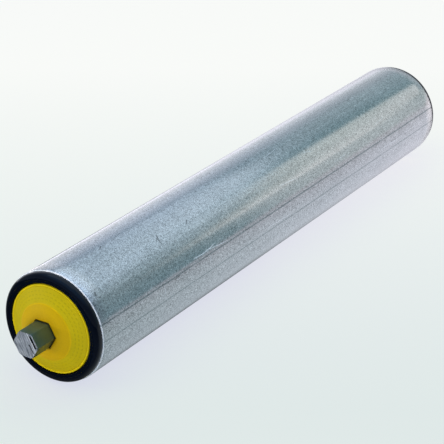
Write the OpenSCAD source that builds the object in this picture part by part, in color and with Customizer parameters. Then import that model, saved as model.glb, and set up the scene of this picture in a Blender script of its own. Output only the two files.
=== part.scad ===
// Gravity conveyor roller with a spring-loaded hexagonal axle.
//
// The axle lies along Y with the origin at the middle of the roller. Everything at an end is drawn
// standing up, with z = 0 in the plane of the tube's end and +z pointing out of the roller, and is
// then laid along the axle by end_piece(). The near end points to -Y, the far end to +Y.
// The spring sits behind the far bearing. It pushes the axle towards -Y until the near end-stop clip
// meets the near bush. Pushing the near end of the axle in closes the spring.

/* [Tube] */
// Outer diameter of the roller tube
tube_od = 50; // [50:0.1:51]
// Wall thickness of the tube
tube_wall = 1.5; // [1.4:0.1:1.6]
// Length of the tube, from cut end to cut end
tube_len = 300; // [180:5:900]
// Chamfer left by deburring the tube's outer edge
tube_edge = 0.25; // [0.1:0.05:0.3]

/* [Axle] */
// Size of the hexagonal bar across its flats
axle_af = 11; // [10.9:0.1:11]
// How far the axle stands out of the tube's end
axle_stub = 19; // [14:0.5:40]
// Radius of the sawn end inside its turned chamfer
axle_end_r = 5.95; // [5.7:0.05:6.2]
// Length of the turned chamfer along the axle
axle_end_chamfer = 0.6; // [0.3:0.1:1.2]
// Root radius of the grooves for the retaining clips
groove_r = 5.2; // [5:0.1:5.3]

/* [Ball bearing] */
// Bore of the inner ring
bearing_bore = 15; // [15:0.1:15.2]
// Outer diameter of the outer ring
bearing_od = 32; // [31.8:0.1:32]
// Width of both rings
bearing_w = 9; // [8.8:0.1:9.4]
// Diameter of one ball
ball_d = 4.762; // [4.7:0.001:4.8]
// Diameter of the circle through the ball centres
pitch_d = 23.5; // [23.4:0.05:23.6]
// Number of balls
ball_count = 9; // [7:1:9]
// Running gap between a ball and its grooves
ball_gap = 0.03; // [0.02:0.01:0.05]

/* [Housing] */
// Diameter of the cap where it covers the tube's cut end
cap_d = 49.2; // [48.8:0.1:49.4]
// Height of the cap beyond the tube's end
cap_h = 3.6; // [3.4:0.1:4.2]
// Diameter of the cap's rounded nose
nose_d = 44.8; // [44.4:0.1:45.2]
// Diameter of the mouth that the seal disc stands in
mouth_d = 41.2; // [41:0.1:41.4]
// Length of the plug inside the tube
plug_len = 17; // [15:0.5:24]
// Number of crush ribs that grip the tube
crush_ribs = 18; // [12:1:24]
// Number of stiffening ribs between the plug and the bearing seat
web_ribs = 12; // [6:1:16]

/* [Seal disc] */
// Diameter of the seal disc's rim
seal_d = 40.2; // [40:0.1:40.4]
// Height of the rim above the tube's end
seal_rim_z = 3.1; // [3:0.1:3.6]
// Diameter of the moulded step in the dome
seal_step_d = 25; // [24:0.2:26]
// Height of the dome at its step
seal_step_z = 6.2; // [6:0.1:6.8]
// Height of the flat round the axle
seal_top_z = 8; // [7.6:0.1:8.6]
// Diameter of the flat round the axle
seal_top_d = 15.6; // [15.2:0.1:17]
// Gap between the hexagonal hole and the axle, on each flat
seal_gap = 0.3; // [0.2:0.05:0.4]

/* [Axle spring] */
// Wire diameter
wire_d = 1.2; // [1:0.1:1.3]
// Diameter of the coil through the middle of the wire
coil_d = 15.4; // [15.2:0.1:15.8]
// Length of the spring as fitted
spring_len = 35; // [32:1:45]
// Number of working turns
working_turns = 7.5; // [5:0.5:9]

/* [Hidden] */
$fn = 96;

// overlap by which sections of one piece are joined
slack = 0.01;

// tube and axle
tube_r = tube_od / 2;
tube_bore_r = tube_r - tube_wall;
axle_len = tube_len + 2 * axle_stub;
axle_corner_r = axle_af / 2 / cos(30);

// bearing: z runs from the outer face inwards
web_floor_z = -1.2;
web_t = 2;
bearing_top_z = web_floor_z - web_t;
bearing_mid_z = bearing_top_z - bearing_w / 2;
bearing_low_z = bearing_top_z - bearing_w;
bearing_r = bearing_od / 2;
bore_r = bearing_bore / 2;
pitch_r = pitch_d / 2;
ball_r = ball_d / 2;
inner_shoulder_r = 10.1;
outer_shoulder_r = 13.4;
groove_curve_r = 0.525 * ball_d;
cage_gap = 0.5;
pocket_gap = 0.12;
shield_seat_r = 13.9;
shield_seat_z = 0.75;
shield_t = 0.35;
shield_bore_r = 10.45;
ring_chamfer = 0.4;

// bush
bush_gap = 0.1;
bush_flange_r = 9;
bush_flange_t = 1.5;
bush_lead = 0.3;
bush_low_z = bearing_low_z - bush_flange_t;

// housing
cap_r = cap_d / 2;
nose_r = nose_d / 2;
mouth_r = mouth_d / 2;
cap_band = 0.9;
nose_lip = 0.4;
nose_step = 0.3;
plug_r = tube_bore_r - 0.4;
plug_wall = 1.6;
seat_wall = 1.8;
web_hole_r = 14.5;
snap_depth = 0.35;
snap_r = bearing_r - snap_depth;
snap_len = 1.2;
snap_mouth = 0.2;
plug_lead = 0.6;
plug_inner_lead = 0.4;
crush_rib_w = 1.2;
crush_lead = 1.5;
crush_start = 0.8;
web_rib_w = 1.4;
web_rib_short = 4;
rib_bite = 0.3;
web_bite = 0.5;

// labyrinth: two lips under the seal disc with the housing's ring between them
seal_r = seal_d / 2;
lip_t = 0.8;
lip_low_z = web_floor_z + 0.6;
inner_lip_r = seal_r - 4.2;
maze_r = (seal_r + inner_lip_r) / 2;
maze_top_z = 1.8;
seal_wall = 1.4;
seal_hub_r = 9.4;
rim_lip_t = 0.55;
lower_crown = 0.12;
upper_crown = 0.15;

// clips, washers and spring along the axle
washer_t = 1;
washer_bore_r = 6.8;
washer_r = 9.2;
clip_t = 1;
clip_r = 8.4;
clip_bore_r = 6.7;
clip_mouth_w = 8.4;
clip_gap = 0.05;
groove_w = clip_t + 2 * clip_gap;
stop_gap = 0.1;
near_bush_y = -tube_len / 2 - bush_low_z;
far_bush_y = -near_bush_y;
stop_washer_y = near_bush_y + stop_gap;
near_clip_y = stop_washer_y + washer_t;
thrust_washer_y = far_bush_y - washer_t;
spring_y = thrust_washer_y - spring_len;
seat_washer_y = spring_y - washer_t;
far_clip_y = seat_washer_y - clip_t;

// spring wire: one flat turn, the working turns, one flat turn
wire_sides = 8;
turn_steps = 20;
flat_pitch = wire_d * 1.04;
total_turns = working_turns + 2;
working_pitch = (spring_len - wire_d - 2 * flat_pitch) / working_turns;

// ---------- placing ----------

// stands a piece drawn along +z on one end of the tube: side -1 is the near end, +1 the far end
module end_piece(side) {
    translate([0, side * tube_len / 2, 0]) rotate([-90 * side, 0, 0]) children();
}

// lays a piece drawn along +z on the axle, starting at y and growing towards +Y
module on_axle(y) {
    translate([0, y, 0]) rotate([-90, 0, 0]) children();
}

module hex_bar(af, h) {
    cylinder(r = af / 2 / cos(30), h = h, $fn = 6);
}

// ---------- tube and axle ----------

module tube() {
    half = tube_len / 2;
    color([0.72, 0.75, 0.77])
    rotate([90, 0, 0])
    rotate_extrude()
    polygon([
        [tube_bore_r, -half], [tube_r - tube_edge, -half], [tube_r, -half + tube_edge],
        [tube_r, half - tube_edge], [tube_r - tube_edge, half], [tube_bore_r, half]
    ]);
}

// a turned groove cuts the hexagon down to a round neck
module axle_groove(y) {
    on_axle(y) difference() {
        cylinder(r = axle_corner_r + 1, h = groove_w);
        translate([0, 0, -1]) cylinder(r = groove_r, h = groove_w + 2);
    }
}

module axle() {
    half = axle_len / 2;
    color([0.45, 0.47, 0.46])
    difference() {
        intersection() {
            on_axle(-half) hex_bar(axle_af, axle_len);
            // the sawn ends are turned: the chamfer only reaches the six corners
            rotate([90, 0, 0])
            rotate_extrude()
            polygon([
                [0, -half], [axle_end_r, -half], [axle_corner_r + 0.2, -half + axle_end_chamfer],
                [axle_corner_r + 0.2, half - axle_end_chamfer], [axle_end_r, half], [0, half]
            ]);
        }
        axle_groove(near_clip_y - clip_gap);
        axle_groove(far_clip_y - clip_gap);
    }
}

// ---------- moulded housing ----------

// the cap's outer profile: a short band, then one arc up to the nose
function nose_arc_r() = let (dr = cap_r - nose_r, dz = cap_h - cap_band) (dr * dr + dz * dz) / (2 * dr);

module cap_profile() {
    arc_r = nose_arc_r();
    difference() {
        intersection() {
            translate([mouth_r, 0]) square([cap_r - mouth_r, cap_h]);
            union() {
                translate([cap_r - arc_r, cap_band]) circle(r = arc_r);
                translate([mouth_r, 0]) square([cap_r - mouth_r, cap_band]);
                translate([mouth_r, 0]) square([cap_r - arc_r - mouth_r, cap_h]);
            }
        }
        // the nose steps down to the flat ring round the mouth
        translate([mouth_r - 1, cap_h - nose_step]) square([nose_r - nose_lip - mouth_r + 1, 1]);
    }
}

// wall sections of the part that goes into the tube
module plug_profile() {
    plug_bore_r = plug_r - plug_wall;
    seat_r = bearing_r + seat_wall;
    // outer wall, from the mouth down
    translate([mouth_r, web_floor_z - web_t]) square([plug_r - mouth_r, web_t - web_floor_z + slack]);
    polygon([
        [plug_bore_r, bearing_top_z + slack], [plug_bore_r, -plug_len + plug_lead],
        [plug_bore_r + plug_inner_lead, -plug_len], [plug_r - plug_lead, -plug_len],
        [plug_r, -plug_len + plug_lead], [plug_r, bearing_top_z + slack]
    ]);
    // web over the bearing
    translate([web_hole_r, bearing_top_z]) square([plug_r - web_hole_r - 0.1, web_t]);
    // bearing seat with the snap lip that holds the bearing in
    polygon([
        [bearing_r, bearing_top_z + slack], [bearing_r, bearing_low_z],
        [snap_r, bearing_low_z - snap_depth], [bearing_r + snap_mouth, bearing_low_z - snap_len],
        [seat_r, bearing_low_z - snap_len],
        [seat_r, bearing_top_z + slack]
    ]);
    // labyrinth ring
    translate([maze_r - lip_t / 2, web_floor_z - slack]) square([lip_t, maze_top_z - web_floor_z + slack]);
}

module housing() {
    seat_r = bearing_r + seat_wall;
    rib_len = plug_len - web_rib_short;
    color([0.03, 0.04, 0.06])
    union() {
        rotate_extrude() { cap_profile(); plug_profile(); }
        // stiffening ribs tie the bearing seat to the plug's wall
        for (i = [0 : web_ribs - 1])
            rotate([0, 0, (i + 0.5) * 360 / web_ribs])
            translate([seat_r - rib_bite, -web_rib_w / 2, -rib_len])
            cube([
                plug_r - plug_wall - seat_r + 2 * rib_bite, web_rib_w,
                rib_len + bearing_top_z + web_bite
            ]);
        // crush ribs grip the bore of the tube, with a tapered lead at the inner end
        intersection() {
            translate([0, 0, crush_start - plug_len]) {
                cylinder(r1 = plug_r, r2 = tube_bore_r, h = crush_lead);
                translate([0, 0, crush_lead])
                cylinder(r = tube_bore_r, h = plug_len - crush_start - crush_lead);
            }
            union() for (i = [0 : crush_ribs - 1])
                rotate([0, 0, i * 360 / crush_ribs])
                translate([plug_r - rib_bite, -crush_rib_w / 2, -plug_len])
                cube([1, crush_rib_w, plug_len]);
        }
    }
}

// ---------- seal disc ----------

// half section of the dome: the top side from the rim to the hub, then back along the under side
module seal_profile() {
    rim_in = seal_r - rim_lip_t;
    groove_z = seal_rim_z - 0.15;
    step_r = seal_step_d / 2;
    step_foot_r = step_r + 0.35;
    step_foot_z = seal_step_z - 0.4;
    top_r = seal_top_d / 2;
    dome_r = seal_r - 2 * rim_lip_t;
    dome_low_z = seal_rim_z + 0.15;
    // height of the under side at a radius, parallel to the lower dome
    function under_z(r) =
        dome_low_z + (step_foot_z - dome_low_z) * (dome_r - r) / (dome_r - step_foot_r) - seal_wall;
    polygon([
        // raised lip, fine groove, lower dome, step, upper dome, flat
        [seal_r, lip_low_z], [seal_r, seal_rim_z - 0.2], [seal_r - 0.2, seal_rim_z + 0.1],
        [rim_in, seal_rim_z + 0.1], [rim_in - 0.15, groove_z], [rim_in - 0.35, groove_z],
        [dome_r, dome_low_z],
        [(dome_r + step_foot_r) / 2, (dome_low_z + step_foot_z) / 2 + lower_crown],
        [step_foot_r, step_foot_z], [step_r, seal_step_z],
        [(step_r + top_r) / 2, (seal_step_z + seal_top_z) / 2 + upper_crown],
        [top_r, seal_top_z], [0, seal_top_z],
        // the hub reaches down to the bearing's inner ring
        [0, bearing_top_z], [seal_hub_r, bearing_top_z], [seal_hub_r, under_z(step_r) + 0.6],
        [step_r, under_z(step_r)], [inner_lip_r, under_z(inner_lip_r)],
        // inner lip, the space for the housing's ring, outer lip
        [inner_lip_r, lip_low_z], [inner_lip_r + lip_t, lip_low_z],
        [inner_lip_r + lip_t, under_z(inner_lip_r + lip_t)], [seal_r - lip_t, under_z(seal_r - lip_t)],
        [seal_r - lip_t, lip_low_z]
    ]);
}

module seal_disc() {
    color([0.83, 0.72, 0.08])
    difference() {
        rotate_extrude() seal_profile();
        translate([0, 0, bearing_top_z - 1])
        hex_bar(axle_af + 2 * seal_gap, seal_top_z - bearing_top_z + 2);
    }
}

// ---------- ball bearing ----------

// the ball groove in a ring: reach is the radius that the ball nearly touches, side +1 outer, -1 inner
module groove_cut(side) {
    reach = pitch_r + side * (ball_r + ball_gap);
    translate([reach - side * groove_curve_r, bearing_mid_z]) circle(r = groove_curve_r);
}

module outer_ring() {
    color([0.62, 0.63, 0.65])
    rotate_extrude()
    difference() {
        polygon([
            [outer_shoulder_r, bearing_low_z], [bearing_r - ring_chamfer, bearing_low_z],
            [bearing_r, bearing_low_z + ring_chamfer], [bearing_r, bearing_top_z - ring_chamfer],
            [bearing_r - ring_chamfer, bearing_top_z], [outer_shoulder_r, bearing_top_z]
        ]);
        groove_cut(1);
        // seats for the two shields
        translate([outer_shoulder_r - 1, bearing_top_z - shield_seat_z])
        square([shield_seat_r - outer_shoulder_r + 1, 2]);
        translate([outer_shoulder_r - 1, bearing_low_z + shield_seat_z - 2])
        square([shield_seat_r - outer_shoulder_r + 1, 2]);
    }
}

module inner_ring() {
    color([0.62, 0.63, 0.65])
    rotate_extrude()
    difference() {
        polygon([
            [bore_r, bearing_low_z + ring_chamfer], [bore_r + ring_chamfer, bearing_low_z],
            [inner_shoulder_r, bearing_low_z], [inner_shoulder_r, bearing_top_z],
            [bore_r + ring_chamfer, bearing_top_z], [bore_r, bearing_top_z - ring_chamfer]
        ]);
        groove_cut(-1);
    }
}

module balls() {
    color([0.8, 0.81, 0.83])
    for (i = [0 : ball_count - 1])
        rotate([0, 0, i * 360 / ball_count])
        translate([pitch_r, 0, bearing_mid_z]) sphere(d = ball_d);
}

// crown cage: a ring on one side of the balls, with a pair of fingers round each ball
module cage() {
    cage_in_r = inner_shoulder_r + cage_gap;
    cage_out_r = outer_shoulder_r - cage_gap;
    finger_z = 1.5;
    back_z = 3.1;
    notch_r = 0.8;
    gap_a = 360 / ball_count;
    color([0.32, 0.25, 0.16])
    difference() {
        translate([0, 0, bearing_mid_z - back_z]) difference() {
            cylinder(r = cage_out_r, h = back_z + finger_z);
            translate([0, 0, -1]) cylinder(r = cage_in_r, h = back_z + finger_z + 2);
        }
        for (i = [0 : ball_count - 1]) rotate([0, 0, i * gap_a]) {
            // the pocket: its open mouth is narrower than the ball, which snaps in
            translate([pitch_r, 0, bearing_mid_z]) sphere(r = ball_r + pocket_gap);
            // the notch between the fingers of neighbouring pockets
            rotate([0, 0, gap_a / 2])
            translate([cage_in_r - 1, 0, bearing_mid_z + finger_z])
            rotate([0, 90, 0]) cylinder(r = notch_r, h = cage_out_r - cage_in_r + 2);
        }
    }
}

// a pressed ring seated just inside the face of the outer ring
module shield(z) {
    color([0.35, 0.36, 0.38])
    translate([0, 0, z]) difference() {
        cylinder(r = shield_seat_r, h = shield_t);
        translate([0, 0, -1]) cylinder(r = shield_bore_r, h = shield_t + 2);
    }
}

module shield_out() { shield(bearing_top_z - shield_seat_z); }

module shield_in() { shield(bearing_low_z + shield_seat_z - shield_t); }

// the bush turns the bearing's round bore into a hexagonal one
module hex_bush() {
    color([0.16, 0.17, 0.18])
    difference() {
        rotate_extrude()
        polygon([
            [0, bush_low_z], [bush_flange_r, bush_low_z], [bush_flange_r, bearing_low_z],
            [bore_r, bearing_low_z], [bore_r, bearing_top_z - bush_lead],
            [bore_r - bush_lead, bearing_top_z],
            [0, bearing_top_z]
        ]);
        translate([0, 0, bush_low_z - 1]) hex_bar(axle_af + 2 * bush_gap, bearing_top_z - bush_low_z + 2);
    }
}

// ---------- axle fittings ----------

module washer() {
    color([0.6, 0.61, 0.6])
    difference() {
        cylinder(r = washer_r, h = washer_t);
        translate([0, 0, -1]) cylinder(r = washer_bore_r, h = washer_t + 2);
    }
}

// a retaining clip with three inner lugs that press on the groove's root
module clip() {
    lug_w = 3.2;
    color([0.25, 0.26, 0.27])
    difference() {
        union() {
            difference() {
                cylinder(r = clip_r, h = clip_t);
                translate([0, 0, -1]) cylinder(r = clip_bore_r, h = clip_t + 2);
            }
            for (a = [0, 90, 180])
                rotate([0, 0, a]) translate([groove_r - 1, -lug_w / 2, 0])
                cube([clip_bore_r - groove_r + 1.4, lug_w, clip_t]);
        }
        translate([0, 0, -1]) cylinder(r = groove_r, h = clip_t + 2);
        translate([-clip_mouth_w / 2, -clip_r - 1, -1]) cube([clip_mouth_w, clip_r - 2, clip_t + 2]);
    }
}

// height of the wire's middle after t turns
function wire_z(t) =
    wire_d / 2 + (
        t < 1 ? flat_pitch * t
        : t < 1 + working_turns ? flat_pitch + working_pitch * (t - 1)
        : flat_pitch + working_pitch * working_turns + flat_pitch * (t - 1 - working_turns)
    );

module spring() {
    steps = round(total_turns * turn_steps);
    points = [
        for (i = [0 : steps]) let (t = i / turn_steps, a = 360 * t)
            for (k = [0 : wire_sides - 1]) let (
                b = 360 * (k + 0.5) / wire_sides,
                r = coil_d / 2 + wire_d / 2 * cos(b)
            )
            [r * cos(a), r * sin(a), wire_z(t) + wire_d / 2 * sin(b)]
    ];
    sides = [
        for (i = [0 : steps - 1], k = [0 : wire_sides - 1]) let (
            next = (k + 1) % wire_sides, low = i * wire_sides, high = low + wire_sides
        )
        [low + k, high + k, high + next, low + next]
    ];
    start_cap = [for (k = [0 : wire_sides - 1]) k];
    end_cap = [for (k = [wire_sides - 1 : -1 : 0]) steps * wire_sides + k];
    color([0.55, 0.56, 0.58])
    polyhedron(points = points, faces = concat(sides, [start_cap, end_cap]), convexity = 8);
}

// ---------- nodes ----------

module near_housing() { end_piece(-1) housing(); }
module far_housing() { end_piece(1) housing(); }
module near_seal_disc() { end_piece(-1) seal_disc(); }
module far_seal_disc() { end_piece(1) seal_disc(); }
module near_outer_ring() { end_piece(-1) outer_ring(); }
module far_outer_ring() { end_piece(1) outer_ring(); }
module near_inner_ring() { end_piece(-1) inner_ring(); }
module far_inner_ring() { end_piece(1) inner_ring(); }
module near_balls() { end_piece(-1) balls(); }
module far_balls() { end_piece(1) balls(); }
module near_cage() { end_piece(-1) cage(); }
module far_cage() { end_piece(1) cage(); }
module near_shield_out() { end_piece(-1) shield_out(); }
module far_shield_out() { end_piece(1) shield_out(); }
module near_shield_in() { end_piece(-1) shield_in(); }
module far_shield_in() { end_piece(1) shield_in(); }
module near_hex_bush() { end_piece(-1) hex_bush(); }
module far_hex_bush() { end_piece(1) hex_bush(); }
module near_stop_washer() { on_axle(stop_washer_y) washer(); }
module near_clip() { on_axle(near_clip_y) clip(); }
module far_clip() { on_axle(far_clip_y) clip(); }
module spring_seat_washer() { on_axle(seat_washer_y) washer(); }
module spring_thrust_washer() { on_axle(thrust_washer_y) washer(); }
module axle_spring() { on_axle(spring_y) spring(); }

tube();
axle();
near_housing();
far_housing();
near_seal_disc();
far_seal_disc();
near_outer_ring();
far_outer_ring();
near_inner_ring();
far_inner_ring();
near_balls();
far_balls();
near_cage();
far_cage();
near_shield_out();
far_shield_out();
near_shield_in();
far_shield_in();
near_hex_bush();
far_hex_bush();
near_stop_washer();
near_clip();
far_clip();
spring_seat_washer();
spring_thrust_washer();
axle_spring();
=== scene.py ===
# %% [markdown]
# # A conveyor roller
# The real thing is a steel tube that turns on two ball bearings round a hexagonal axle. Its ends
# are closed by black moulded housings, and in the mouth of each stands a yellow seal disc that is
# keyed on the axle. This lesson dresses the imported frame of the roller: it models the pieces that
# show, gives every piece its finish, and sets a camera and a plain soft studio round it.

# %% The frame and its sizes
import math

import bpy
from mathutils import Matrix, Vector


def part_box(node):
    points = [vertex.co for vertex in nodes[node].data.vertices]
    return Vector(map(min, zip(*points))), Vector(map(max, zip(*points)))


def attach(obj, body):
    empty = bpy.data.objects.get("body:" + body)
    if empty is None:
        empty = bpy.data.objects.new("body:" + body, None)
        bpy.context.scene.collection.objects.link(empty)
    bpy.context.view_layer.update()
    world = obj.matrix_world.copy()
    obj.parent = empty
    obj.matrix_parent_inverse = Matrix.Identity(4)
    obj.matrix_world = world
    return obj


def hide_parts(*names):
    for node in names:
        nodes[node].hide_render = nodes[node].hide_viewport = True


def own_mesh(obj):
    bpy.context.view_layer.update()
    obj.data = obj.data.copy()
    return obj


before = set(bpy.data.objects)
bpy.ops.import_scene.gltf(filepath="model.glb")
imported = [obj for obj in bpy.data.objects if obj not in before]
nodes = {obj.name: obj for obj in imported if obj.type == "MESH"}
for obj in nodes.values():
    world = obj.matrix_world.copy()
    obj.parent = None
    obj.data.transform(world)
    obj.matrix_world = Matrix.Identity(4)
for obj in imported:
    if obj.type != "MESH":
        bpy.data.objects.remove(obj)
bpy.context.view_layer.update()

mm = 0.001
tube_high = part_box("tube")[1]
tube_r, tube_half = tube_high.z, tube_high.y
axle_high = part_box("axle")[1]
axle_half, axle_flat = axle_high.y, axle_high.z
print("tube", round(2 * tube_r / mm, 2), "x", round(2 * tube_half / mm, 2), "mm")
print("axle", round(2 * axle_flat / mm, 2), "mm across flats,", round(2 * axle_half / mm, 2), "mm long")

# %% [markdown]
# ## Shader sums as plain Python
# A finish is a small calculation over the surface. Written as nodes it is hard to read, so a
# socket is wrapped in a class whose operators add the Math nodes: `1 - mask * 0.3` then means
# what it says.

# %% A socket that can be calculated with
class Wire:
    """One output socket of a finish. Sums on it add Math nodes."""

    def __init__(self, finish, socket):
        self.finish, self.socket = finish, socket

    def _math(self, operation, *values, clamp=False):
        settings = {"operation": operation, "use_clamp": clamp}
        return self.finish.add("ShaderNodeMath", settings, values)

    def __add__(self, other):
        return self._math("ADD", self, other)

    def __radd__(self, other):
        return self._math("ADD", other, self)

    def __sub__(self, other):
        return self._math("SUBTRACT", self, other)

    def __rsub__(self, other):
        return self._math("SUBTRACT", other, self)

    def __mul__(self, other):
        return self._math("MULTIPLY", self, other)

    def __truediv__(self, other):
        return self._math("DIVIDE", self, other)

    def __abs__(self):
        return self._math("ABSOLUTE", self)

    def clamp(self):
        """Held between 0 and 1."""
        return self._math("ADD", self, 0.0, clamp=True)

    def below(self, edge):
        """1 where the value is less than the edge, 0 elsewhere."""
        return self._math("LESS_THAN", self, edge)

    def apply(self, operation, *values):
        """Any other Math node with this wire first."""
        return self._math(operation, self, *values)


class Finish:
    """A material under construction, with its Principled shader at hand."""

    def __init__(self, name, **constants):
        self.material = bpy.data.materials.new(name)
        self.material.use_nodes = True
        self.tree = self.material.node_tree
        self.shader = self.tree.nodes["Principled BSDF"]
        self.set(**constants)

    @classmethod
    def of_tree(cls, tree):
        """The same helper on another node tree, such as the world's."""
        finish = cls.__new__(cls)
        finish.tree = tree
        return finish

    def add(self, kind, settings=None, values=(), out=0):
        """Adds any node: its settings first, then the values or wires of its sockets."""
        node = self.tree.nodes.new(kind)
        for name, value in (settings or {}).items():
            if name == "stops":
                ramp = node.color_ramp.elements
                while len(ramp) > 1:
                    ramp.remove(ramp[-1])
                for i, (place, color) in enumerate(value):
                    stop = ramp[0] if i == 0 else ramp.new(place)
                    stop.position, stop.color = place, (*color, 1)
            else:
                setattr(node, name, value)
        pairs = values.items() if isinstance(values, dict) else enumerate(values)
        for key, value in pairs:
            self.link(value, node.inputs[key])
        return Wire(self, node.outputs[out])

    def link(self, value, socket):
        """Wires a value into a socket, or sets it there when it is plain."""
        if isinstance(value, Wire):
            self.tree.links.new(value.socket, socket)
        else:
            socket.default_value = value

    def place(self):
        """Object coordinates, in metres in the roller's own frame."""
        return self.add("ShaderNodeTexCoord", out="Object")

    def axes(self, vector):
        """The x, y and z of a vector as three wires."""
        x = self.add("ShaderNodeSeparateXYZ", values=[vector])
        return [Wire(self, x.socket.node.outputs[i]) for i in range(3)]

    def stretched(self, vector, scale):
        """Coordinates scaled axis by axis: a small scale draws a pattern out along that axis."""
        return self.add("ShaderNodeMapping", values={"Vector": vector, "Scale": scale})

    def noise(self, vector, scale, detail=3.0, roughness=0.5):
        """A noise between 0 and 1, its grain about 1 / scale metres wide."""
        values = {"Vector": vector, "Scale": scale, "Detail": detail, "Roughness": roughness}
        return self.add("ShaderNodeTexNoise", {"normalize": True}, values)

    def mix(self, factor, low, high):
        """A colour between two colours. The Mix node has its colours on sockets 6 and 7."""
        values = {0: factor, 6: low, 7: high}
        return self.add("ShaderNodeMix", {"data_type": "RGBA"}, values, out=2)

    def tinted(self, color, factor):
        """A colour made darker or lighter by a wire."""
        values = {"Vector": color, "Scale": factor}
        return self.add("ShaderNodeVectorMath", {"operation": "SCALE"}, values)

    def ramp(self, factor, *stops):
        """A colour from a row of (place, colour) stops."""
        return self.add("ShaderNodeValToRGB", {"stops": stops}, [factor])

    def set(self, **sockets):
        """Feeds sockets of the Principled shader, such as Base_Color or Roughness."""
        for name, value in sockets.items():
            self.link(value, self.shader.inputs[name.replace("_", " ")])

    def bump(self, height, distance, normal=None):
        """A normal from a height, on top of another normal if there is one."""
        values = {"Height": height, "Distance": distance, "Strength": 1.0}
        if normal:
            values["Normal"] = normal
        return self.add("ShaderNodeBump", values=values)


def rgb(red, green, blue):
    """A colour as it shows on the screen, 0 to 255, turned into the linear values of a shader."""
    return (*(((c / 255 + 0.055) / 1.055) ** 2.4 for c in (red, green, blue)), 1)


print("shader helpers ready")

# %% [markdown]
# ## Camera
# The roller is seen from its near end, a little from above, with a long lens. The aim point is
# the roller's middle, moved a little in the picture plane so that the roller fills the frame.

# %% Camera
def look_axes(azimuth, elevation):
    """Right, up and back of a camera: azimuth 0 looks along +Y, 90 along -X."""
    a, e = math.radians(azimuth), math.radians(elevation)
    back = Vector((math.sin(a) * math.cos(e), -math.cos(a) * math.cos(e), math.sin(e)))
    right = Vector((math.cos(a), math.sin(a), 0))
    return right, back.cross(right), back


AZIMUTH, ELEVATION = 32.93, 24.6
CAMERA_DISTANCE, LENS = 0.7812, 131
AIM_LEFT, AIM_DOWN = 0.0126, 0.0094
right, up, back = look_axes(AZIMUTH, ELEVATION)
camera_place = back * CAMERA_DISTANCE - right * AIM_LEFT - up * AIM_DOWN

camera_data = bpy.data.cameras.new("camera")
camera_data.sensor_width = 36
camera_data.lens = LENS
camera = bpy.data.objects.new("camera", camera_data)
turn = Matrix((right, up, back)).transposed().to_4x4()
camera.matrix_world = Matrix.Translation(camera_place) @ turn
bpy.context.scene.collection.objects.link(camera)
bpy.context.scene.camera = camera
print("camera at", [round(c, 3) for c in camera_place])

# %% [markdown]
# ## Floor
# The roller lies on a pale table that runs out of the picture on all sides. A lit table alone
# would need strong lamps to look white, and they would spoil the colours of the roller. So to
# the camera, and in the reflections on the steel, the table also glows. Only part of its
# brightness is lamp light, which keeps the roller's shadow soft and faint. The lamp-lit part is a
# warm white and the glow a cool one, so where the roller keeps the lamps off, the table turns
# slightly lavender. In the picture the table gets lighter towards the back.

# %% Floor
bpy.ops.object.select_all(action="DESELECT")
bpy.ops.mesh.primitive_plane_add(size=12, location=(0, 0, -tube_r))
floor = bpy.context.active_object
floor.name = "floor"

BACKDROP_LOW, BACKDROP_HIGH = rgb(234, 240, 242), rgb(252, 253, 252)
table = Finish("pale_table", Roughness=0.8, Specular_IOR_Level=0.0)
east, north, _ = table.axes(table.place())
away = north * right.x - east * right.y
depth = ((away + 0.15) / 0.42).clamp()
glow_color = table.mix(depth, (0.905, 0.93, 1.122, 1), (1.18, 1.125, 1.31, 1))
ray = table.add("ShaderNodeLightPath")
glossy = Wire(table, ray.socket.node.outputs["Is Glossy Ray"])
seen = ray.apply("MAXIMUM", glossy)
lit_color = table.mix(glossy, (0.8, 0.82, 0.84, 1), (0.95, 0.93, 0.6, 1))
table.set(Base_Color=table.mix(ray, lit_color, (0.85, 1.0, 0.1, 1)))
# in reflections the table is darker to the front, darker under the roller, where the roller's
# shadow is painted into the glow, and darker on the right, where the room begins, and brighter
# far out on the left, where the pale wall starts
mirrored = table.ramp(
    ((north + 0.4) / 0.7).clamp(), (0, (0.06,) * 3), (0.34, (0.14,) * 3), (0.375, (0.66,) * 3),
    (0.6, (0.84,) * 3), (0.8, (0.9,) * 3), (1, (0.96,) * 3),
)
beside = ((east - 0.06) / 0.05).clamp() * 0.2 + ((east - 0.11) / 0.8).clamp() * 0.3
close = ((0.05 - east) / 0.03).clamp() * 0.07
# painted shadow: the roller's shadow under it, in the table's reflected glow
below = ((0.0205 - east) / 0.0075).clamp() * 0.75 * (1 - ((north + 0.04) / 0.2).clamp())
horizon = ((-0.2 - east) / 0.25).clamp() * ((north + 0.05) / 0.1).clamp() * 1.6
horizon = horizon * (1 - ((north - 0.3) / 0.25).clamp() * 0.85)
mirrored = mirrored * (1 + close - beside) * (1 - below) + horizon
strength = 1 - glossy * (1 - mirrored)
onward = ((north + 0.1) / 0.25).clamp()
tint = table.mix(onward, (0.82, 0.913, 0.845, 1), (0.862, 0.882, 0.85, 1))
shown = table.mix(glossy, (1, 1, 1, 1), tint)
glow_color = table.add("ShaderNodeVectorMath", {"operation": "MULTIPLY"}, [glow_color, shown])

# far from the roller the camera sees the glow alone, in the colours of the backdrop, and in front
# of the near end the lamp light is left out of reflections, so that the cap's flank stays dark
reach = (east * east + north * north).apply("POWER", 0.5)
outer = ray * ((reach - 0.6) / 0.4).clamp()
front = glossy * ((-0.155 - north) / 0.01).clamp()
lit_share = (0.17 + ray * 0.13) * (1 - outer) * (1 - front * 0.8)
glow_color = table.mix(outer, glow_color, table.mix(depth, BACKDROP_LOW, BACKDROP_HIGH))
glow = table.add("ShaderNodeEmission", values={"Color": glow_color, "Strength": strength})
shaded = Wire(table, table.shader.outputs["BSDF"])
mixed = table.add("ShaderNodeMixShader", values=[seen * (1 - lit_share), shaded, glow])
table.link(mixed, table.tree.nodes["Material Output"].inputs["Surface"])
floor.data.materials.append(table.material)
print("floor at", round(floor.location.z / mm, 2), "mm,", len(table.tree.nodes), "nodes")

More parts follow.
